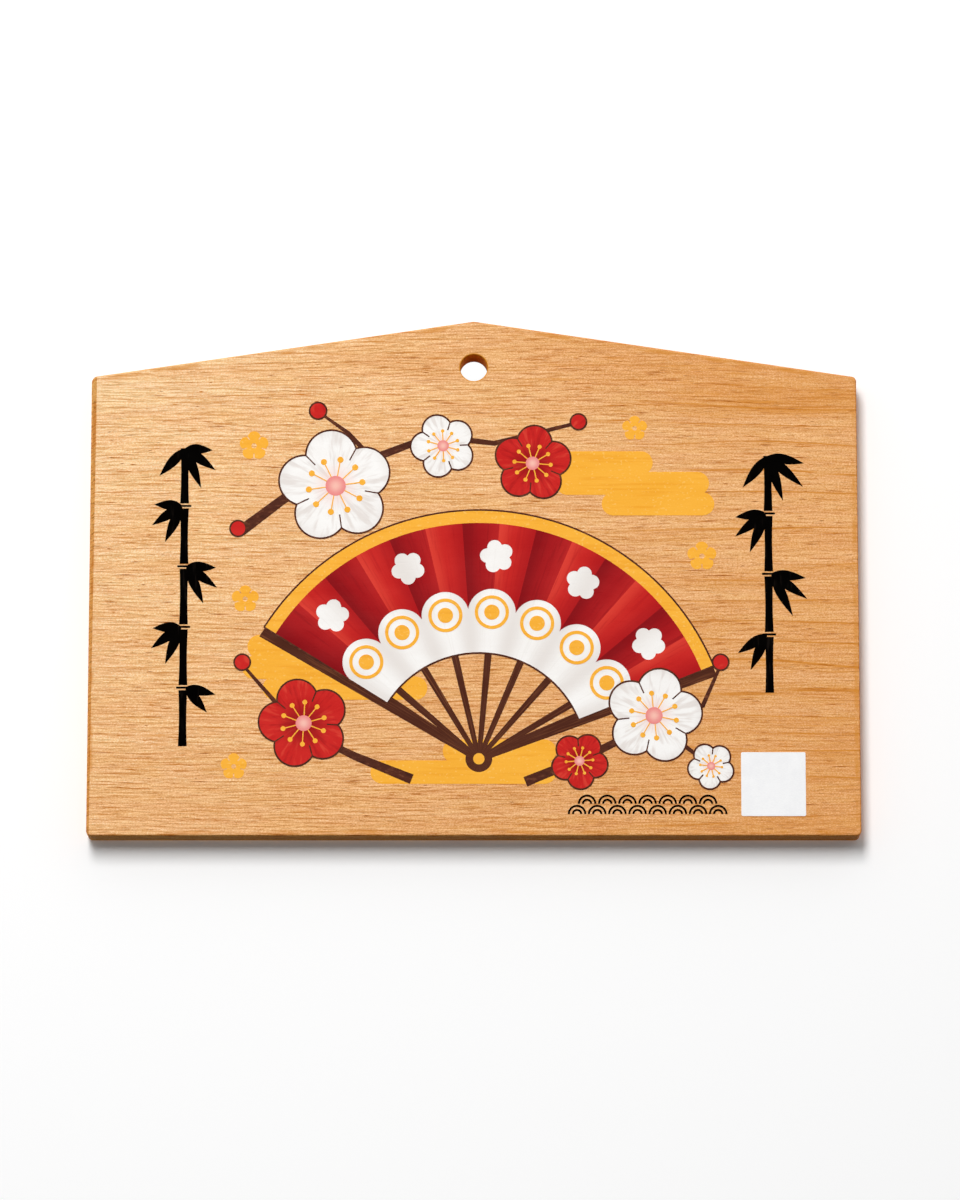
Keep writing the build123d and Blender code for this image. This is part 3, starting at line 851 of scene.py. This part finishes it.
def fan_parts(group, given):
    """Reach is 0 at the pivot and 1 at the rim, Ridge is 1 on a ridge and 0 in a valley of the pleats."""
    offset = vector_maths(group, "SUBTRACT", given["Position"], fan_pivot)
    across, _, upward = split(group, offset)
    reach = maths(group, "DIVIDE", flat_length(group, offset), fan_radius)
    turn = maths(group, "ARCTAN2", upward, across)
    pleats = maths(group, "DIVIDE", minus(group, turn, FAN_START), FAN_PLEAT)
    outward = times(group, reach, STROKES_OUTWARD)
    brush = combine(group, times(group, turn, STROKES_PER_RADIAN), 0.0, outward)
    strokes = noise(group, brush, STROKE_CELL, roughness=STROKE_ROUGHNESS)
    return {"Reach": reach, "Ridge": maths(group, "PINGPONG", pleats, 1.0), "Strokes": strokes}


fan_place = make_group("Fan place", fan_parts)
print("made", fan_place.name)

# %% [markdown]
# ## Printed inks
# The picture is screen printed: each colour is a thin opaque film with crisp edges. A real film is never
# quite even, so one group gives slow patches where the squeegee left more or less ink, a fine tooth, and
# the ticks and lines of the grain that telegraph through. Each ink then only names its own colours and
# brushwork.

# %% Build the ink group
PATCH_CELL = (9.0, 9.0, 4.0)
PATCH_LEVELS = (0.25, 0.75)
TOOTH_CELL = (0.3, 0.3, 0.2)
TOOTH_LEVELS = (0.3, 0.7)
SUNK_TICKS = 0.5
SUNK_LINES = 0.3


def film_parts(group, given):
    """Where the film is thicker, its fine tooth, and its height over the grain."""
    patches = mask(group, given["Position"], PATCH_CELL, PATCH_LEVELS, shift=7.7, detail=3.0)
    tooth = mask(group, given["Position"], TOOTH_CELL, TOOTH_LEVELS, shift=1.9, detail=1.0)
    sunk = plus(group, times(group, given["Lines"], SUNK_LINES), times(group, given["Ticks"], SUNK_TICKS))
    return {"Patches": patches, "Tooth": tooth, "Height": minus(group, 1.0, sunk)}


ink_film = make_group("Ink film", film_parts, more=("Ticks", "Lines"))
print("sockets of the ink group:", [socket.name for socket in ink_film.interface.items_tree])

# %% Start an ink
PATCH_SHARE = 0.6
TOOTH_SHARE = 0.3
INK_ROUGHNESS = (0.44, 0.58)
INK_SHINE = 0.03
INK_RELIEF = 0.02 * MM


def make_ink(name, full, thin, brushwork, shine=INK_SHINE):
    """An ink that runs in patches from its full colour to a thinner one, with brushwork painted over."""
    finish, tree, shader, position = new_finish(name)
    grain = place_group(tree, plank_grain, position)
    film = place_group(tree, ink_film, position, Ticks=grain["Ticks"], Lines=grain["Lines"])
    patches = times(tree, film["Patches"], PATCH_SHARE)
    share = plus(tree, patches, times(tree, film["Tooth"], TOOTH_SHARE))
    colour = brushwork(tree, position, blend(tree, share, full, thin))
    set_surface(tree, shader, colour, ease(tree, film["Patches"], 0.0, 1.0, *INK_ROUGHNESS), shine)
    raise_bump(tree, shader, film["Height"], INK_RELIEF)
    print("made", name)
    return finish


def brush_over(tree, colour, shade, pattern, levels, share):
    """Brushes a shade over a colour where a pattern passes those levels, with at most that share of it."""
    return blend(tree, ease(tree, pattern, *levels, 0.0, share), colour, shade)


# %% White ink
PETAL_RIM = (1.08, 1.02)


def brush_white(tree, position, colour):
    """Petals with grey strokes and a warm heart, and the fan's white paper with shaded valleys."""
    blossom = place_group(tree, blossom_place, position)
    fan = place_group(tree, fan_place, position)
    reach = blossom["Reach"]
    inside = ease(tree, reach, *PETAL_RIM)
    strokes = times(tree, blossom["Strokes"], inside)
    petals = brush_over(tree, colour, paint(226, 217, 211), strokes, levels=(0.46, 0.66), share=0.75)
    petals = brush_over(tree, petals, paint(228, 221, 216), reach, levels=(0.78, 1.0), share=0.4)
    petals = brush_over(tree, petals, paint(247, 214, 206), reach, levels=(0.5, 0.1), share=0.7)
    paper = brush_over(tree, colour, paint(226, 218, 212), fan["Ridge"], levels=(0.9, 0.0), share=0.7)
    paper = brush_over(tree, paper, paint(232, 226, 220), fan["Strokes"], levels=(0.5, 0.75), share=0.4)
    return blend(tree, inside, paper, petals)


white_ink = make_ink("white ink", paint(252, 250, 247), paint(245, 241, 237), brush_white)


# %% Red and pink of the blossoms
def brush_petals(tree, position, colour):
    """Dark and light strokes, darkest at the heart."""
    blossom = place_group(tree, blossom_place, position)
    strokes = blossom["Strokes"]
    colour = brush_over(tree, colour, paint(158, 18, 22), strokes, levels=(0.5, 0.72), share=0.55)
    colour = brush_over(tree, colour, paint(226, 76, 58), strokes, levels=(0.46, 0.3), share=0.5)
    return brush_over(tree, colour, paint(140, 12, 18), blossom["Reach"], levels=(0.7, 0.15), share=0.75)


def brush_hearts(tree, position, colour):
    """Palest in the middle."""
    reach = place_group(tree, blossom_place, position)["Reach"]
    return brush_over(tree, colour, paint(250, 196, 180), reach, levels=(HEART_SHARE, 0.0), share=0.9)


petal_red = make_ink("petal red", paint(208, 40, 35), paint(196, 32, 31), brush_petals)
heart_pink = make_ink("heart pink", paint(240, 146, 142), paint(234, 134, 132), brush_hearts)


# %% Inks of the fan
def pleat_brush(ridge, valley):
    """Brushwork of a pleat: lighter along its ridge, darker in its valley and towards the inner edge."""
    def brushwork(tree, position, colour):
        fan = place_group(tree, fan_place, position)
        colour = brush_over(tree, colour, ridge, fan["Ridge"], levels=(0.55, 1.0), share=0.8)
        colour = brush_over(tree, colour, valley, fan["Ridge"], levels=(0.6, 0.0), share=0.8)
        colour = brush_over(tree, colour, valley, fan["Strokes"], levels=(0.5, 0.75), share=0.45)
        return brush_over(tree, colour, valley, fan["Reach"], levels=(0.78, 0.58), share=0.55)
    return brushwork


def brush_ribs(tree, position, colour):
    """Paler strokes along the ribs."""
    strokes = place_group(tree, fan_place, position)["Strokes"]
    return brush_over(tree, colour, paint(124, 72, 44), strokes, levels=(0.5, 0.7), share=0.7)


light_pleat = make_ink("light pleat", paint(205, 41, 36), paint(194, 34, 32),
                       pleat_brush(ridge=paint(222, 66, 52), valley=paint(170, 20, 25)))
dark_pleat = make_ink("dark pleat", paint(170, 23, 27), paint(158, 19, 25),
                      pleat_brush(ridge=paint(186, 34, 34), valley=paint(128, 10, 18)))
rib_brown = make_ink("rib brown", paint(84, 42, 27), paint(72, 34, 22), brush_ribs)

# %% Gold, brown and black
GOLD_STREAK_CELL = (11.0, 3.0, 0.6)
GOLD_DUST_CELL = (0.5, 0.5, 0.4)
BARK_CELL = (1.6, 1.6, 0.7)
DRY_BRUSH_CELL = (0.5, 1.0, 4.0)


def brush_gold(tree, position, colour):
    """Level streaks and pale dust."""
    streaks = noise(tree, position, GOLD_STREAK_CELL, shift=2.7)
    dust = noise(tree, position, GOLD_DUST_CELL, shift=8.8, detail=0.0)
    colour = brush_over(tree, colour, paint(240, 160, 42), streaks, levels=(0.5, 0.72), share=0.6)
    return brush_over(tree, colour, paint(255, 210, 120), dust, levels=(0.66, 0.8), share=0.4)


def brush_bark(tree, position, colour):
    """Mottled, with paler and darker bark."""
    bark = noise(tree, position, BARK_CELL, shift=3.9, detail=3.0, roughness=0.6)
    colour = brush_over(tree, colour, paint(122, 72, 48), bark, levels=(0.52, 0.7), share=0.6)
    return brush_over(tree, colour, paint(52, 24, 18), bark, levels=(0.46, 0.3), share=0.6)


def brush_black(tree, position, colour):
    """A little grey where the brush ran dry."""
    dry = noise(tree, position, DRY_BRUSH_CELL, shift=6.1)
    return brush_over(tree, colour, paint(30, 25, 22), dry, levels=(0.58, 0.75), share=0.5)


gold_ink = make_ink("gold ink", paint(252, 183, 64), paint(247, 174, 54), brush_gold)
bark_brown = make_ink("bark brown", paint(74, 35, 24), paint(88, 46, 31), brush_bark)
black_ink = make_ink("black ink", paint(2, 1, 1), paint(7, 6, 5), brush_black, shine=0.0)

# %% [markdown]
# ## The paper label
# A blank square of white paper is stuck near the lower right corner. Paper isn't a plain white: it has a
# faint cloudiness and short fibres, and its surface is quite matt.

# %% Make the paper
PAPER_WHITE = paint(249, 249, 249)
PAPER_GREY = paint(242, 242, 243)
PAPER_CLOUD_CELL = (2.6, 2.6, 2.6)
PAPER_CLOUD_SWING = 0.8
PAPER_FIBRE_CELL = (0.5, 0.5, 0.14)
PAPER_LEVELS = (0.2, 0.8)
PAPER_ROUGHNESS = (0.7, 0.85)
PAPER_SHINE = 0.2
PAPER_RELIEF = 0.01 * MM


def make_label_paper():
    finish, tree, shader, position = new_finish("label paper")
    clouds = noise(tree, position, PAPER_CLOUD_CELL, shift=2.8, detail=3.0)
    fibres = noise(tree, position, PAPER_FIBRE_CELL, shift=5.1)
    share = plus(tree, swing(tree, clouds, PAPER_CLOUD_SWING), fibres)
    colour = blend(tree, ease(tree, share, *PAPER_LEVELS), PAPER_WHITE, PAPER_GREY)
    set_surface(tree, shader, colour, ease(tree, fibres, *PAPER_LEVELS, *PAPER_ROUGHNESS), PAPER_SHINE)
    raise_bump(tree, shader, fibres, PAPER_RELIEF)
    return finish


label_paper = make_label_paper()
print("made", label_paper.name)

# %% [markdown]
# ## Dress the pieces
# The loaded pieces keep their shapes. Each gets its finish in its own material slots.

# %% Give each piece its finish
finishes = {
    "board": bare_wood,
    "white_label": label_paper,
    "white_underprint": white_ink,
    "fan_ribs": rib_brown,
    "plum_branches": bark_brown,
    "brown_key_lines": bark_brown,
    "gold_clouds": gold_ink,
    "gold_flowers": gold_ink,
    "fan_gold_trim": gold_ink,
    "gold_stamens": gold_ink,
    "left_bamboo": black_ink,
    "right_bamboo": black_ink,
    "wave_row": black_ink,
    "fan_light_pleats": light_pleat,
    "red_petals": petal_red,
    "fan_dark_pleats": dark_pleat,
    "pink_hearts": heart_pink,
}
for piece_name, finish in finishes.items():
    for slot in frame["nodes"][piece_name].material_slots:
        slot.material = finish
print("dressed", len(finishes), "of", len(frame["nodes"]), "pieces")

# %% [markdown]
# ## A white card, a floor and soft light
# The plaque is shown flat against a white card. The card all but touches the back of the board, so the
# board's own shadow falls on it. It glows a little for the camera, so that it reads as white where light
# reaches it, and it is seen through from behind. A round window in it lets the cord hole show white. The
# floor lies well below.

# %% White for the card and the floor
CARD_WHITE = (0.98, 0.98, 0.98, 1.0)


def seen_directly(tree):
    """1 for the rays that show a background: straight from the camera, mirrored or seen through glass."""
    path = tree.nodes.new("ShaderNodeLightPath").outputs
    mirrored = maths(tree, "MAXIMUM", path["Is Glossy Ray"], path["Is Transmission Ray"])
    return maths(tree, "MAXIMUM", path["Is Camera Ray"], mirrored)


def make_white_card(name, glow):
    """Matt white that glows a little for the camera, and is clear from behind."""
    material = bpy.data.materials.new(name)
    material.use_nodes = True
    tree = material.node_tree
    tree.nodes.clear()
    matt = tree.nodes.new("ShaderNodeBsdfDiffuse")
    matt.inputs["Color"].default_value = CARD_WHITE
    shine = tree.nodes.new("ShaderNodeEmission")
    feed(tree, shine.inputs["Strength"], times(tree, seen_directly(tree), glow))
    lit = tree.nodes.new("ShaderNodeAddShader")
    feed(tree, lit.inputs[0], matt.outputs[0])
    feed(tree, lit.inputs[1], shine.outputs[0])
    clear = tree.nodes.new("ShaderNodeBsdfTransparent")
    either = tree.nodes.new("ShaderNodeMixShader")
    feed(tree, either.inputs[0], tree.nodes.new("ShaderNodeNewGeometry").outputs["Backfacing"])
    feed(tree, either.inputs[1], lit.outputs[0])
    feed(tree, either.inputs[2], clear.outputs[0])
    output = tree.nodes.new("ShaderNodeOutputMaterial")
    feed(tree, output.inputs["Surface"], either.outputs[0])
    return material


# %% Shape the card
CARD_GAP = 0.05 * MM
CARD_RADIUS = 0.44
CARD_WINDOW = 2.4 * hole_radius
CARD_SIDES = 96


def round_edge(radius):
    """The corners of a round edge of the card, about the cord hole."""
    turns = [2 * math.pi * step / CARD_SIDES for step in range(CARD_SIDES)]
    return [(radius * math.cos(turn), back + CARD_GAP, radius * math.sin(turn)) for turn in turns]


card_faces = []
for step in range(CARD_SIDES):
    after = (step + 1) % CARD_SIDES
    card_faces.append((step, step + CARD_SIDES, after + CARD_SIDES, after))
card_mesh = make_sheet("white_card", round_edge(CARD_WINDOW) + round_edge(CARD_RADIUS), card_faces)
white_card = bpy.data.objects.new("white_card", card_mesh)
print("card faces", tuple(round(part) for part in card_mesh.polygons[0].normal))

# %% Lay the floor, and set both up
FLOOR_DROP = 0.35
FLOOR_HALF = 6.0
CARD_GLOW = 0.04
FLOOR_GLOW = 0.46

floor_level = bottom - FLOOR_DROP
floor_signs = ((-1, -1), (1, -1), (1, 1), (-1, 1))
floor_corners = [(FLOOR_HALF * x, FLOOR_HALF * y, floor_level) for x, y in floor_signs]
pale_floor = bpy.data.objects.new("pale_floor", make_sheet("pale_floor", floor_corners, [range(4)]))
white_card.data.materials.append(make_white_card("card", CARD_GLOW))
white_card.visible_shadow = False
pale_floor.data.materials.append(make_white_card("floor", FLOOR_GLOW))
for backdrop in (white_card, pale_floor):
    backdrop.visible_diffuse = False
    bpy.context.scene.collection.objects.link(backdrop)
print("staged", white_card.name, "and", pale_floor.name)

# %% [markdown]
# ## Lamps and sky
# One tall soft lamp stands a little left of and above the camera, so the board throws a soft shadow down
# and to its right. Two more stand behind the board, one to each side, so that each lights the back and one
# of the narrow ends without reaching the front. A pale sky fills the shade, and it is plain white where the
# camera looks straight at it. The lamps are set so that a colour renders about as it is written.

# %% Lamps
LAMP_DISTANCE = 1.2
LAMP_WIDTH = 0.3
LAMP_HEIGHT = 0.6
KEY_LEFT = 9.0
KEY_UP = 21.0
KEY_LEVEL = 0.82
BACK_ROUND = 142.0
BACK_UP = 12.0
BACK_LEVEL = 0.47


def add_lamp(name, bearing, height, level):
    """A soft lamp that lights a facing surface to that level, from degrees left of and above front."""
    middle = Vector((0.0, 0.0, (bottom + peak) / 2))
    turn = math.radians(bearing)
    tilt = math.radians(height)
    away = Vector((-math.sin(turn) * math.cos(tilt), -math.cos(turn) * math.cos(tilt), math.sin(tilt)))
    lamp = bpy.data.lights.new(name, "AREA")
    lamp.shape = "RECTANGLE"
    lamp.size = LAMP_WIDTH
    lamp.size_y = LAMP_HEIGHT
    lamp.energy = level * (math.pi * LAMP_DISTANCE) ** 2
    holder = bpy.data.objects.new(name, lamp)
    holder.location = middle + away * LAMP_DISTANCE
    holder.rotation_euler = (-away).to_track_quat("-Z", "Y").to_euler()
    holder.visible_camera = False
    bpy.context.scene.collection.objects.link(holder)


add_lamp("key_lamp", KEY_LEFT, KEY_UP, KEY_LEVEL)
add_lamp("left_back_lamp", BACK_ROUND, BACK_UP, BACK_LEVEL)
add_lamp("right_back_lamp", -BACK_ROUND, BACK_UP, BACK_LEVEL)
print("lamps:", [(lamp.name, round(lamp.energy, 1)) for lamp in bpy.data.lights])

# %% Sky
SKY_LEVEL = 0.5
GROUND_LEVEL = 0.08
DUSK_BAND = (-0.7, 0.7)
SKY_WHITE = (1.0, 1.0, 1.0, 1.0)


def make_world():
    world = bpy.data.worlds.new("studio")
    world.use_nodes = True
    tree = world.node_tree
    tree.nodes.clear()
    _, _, up = split(tree, tree.nodes.new("ShaderNodeTexCoord").outputs["Generated"])
    level = ease(tree, up, *DUSK_BAND, GROUND_LEVEL, SKY_LEVEL)
    sky = tree.nodes.new("ShaderNodeBackground")
    feed(tree, sky.inputs["Strength"], maths(tree, "MAXIMUM", level, seen_directly(tree)))
    sky.inputs["Color"].default_value = SKY_WHITE
    output = tree.nodes.new("ShaderNodeOutputWorld")
    feed(tree, output.inputs["Surface"], sky.outputs["Background"])
    return world


bpy.context.scene.world = make_world()
print("sky:", bpy.context.scene.world.name)

# %% [markdown]
# ## The camera
# The picture is taken with a long lens from a little below, so the board's underside just shows. The
# distance and the tilt come from the board's known size and where its corners fall in the frame.

# %% Camera
CAMERA_TARGET = Vector((1.22 * MM, 0.0, -45.74 * MM))
CAMERA_DISTANCE = 1143.0 * MM
CAMERA_BELOW = 10.49
CAMERA_LENS = 175.5
CAMERA_SENSOR = 36.0

camera = bpy.data.objects.new("camera", bpy.data.cameras.new("camera"))
camera.data.sensor_width = CAMERA_SENSOR
camera.data.lens = CAMERA_LENS
dip = math.radians(CAMERA_BELOW)
camera_away = Vector((0.0, -math.cos(dip), -math.sin(dip)))
camera.location = CAMERA_TARGET + camera_away * CAMERA_DISTANCE
camera.rotation_euler = (-camera_away).to_track_quat("-Z", "Y").to_euler()
bpy.context.scene.collection.objects.link(camera)
bpy.context.scene.camera = camera
bpy.context.scene.view_settings.view_transform = "Standard"
print("camera at", [round(part, 3) for part in camera.location])
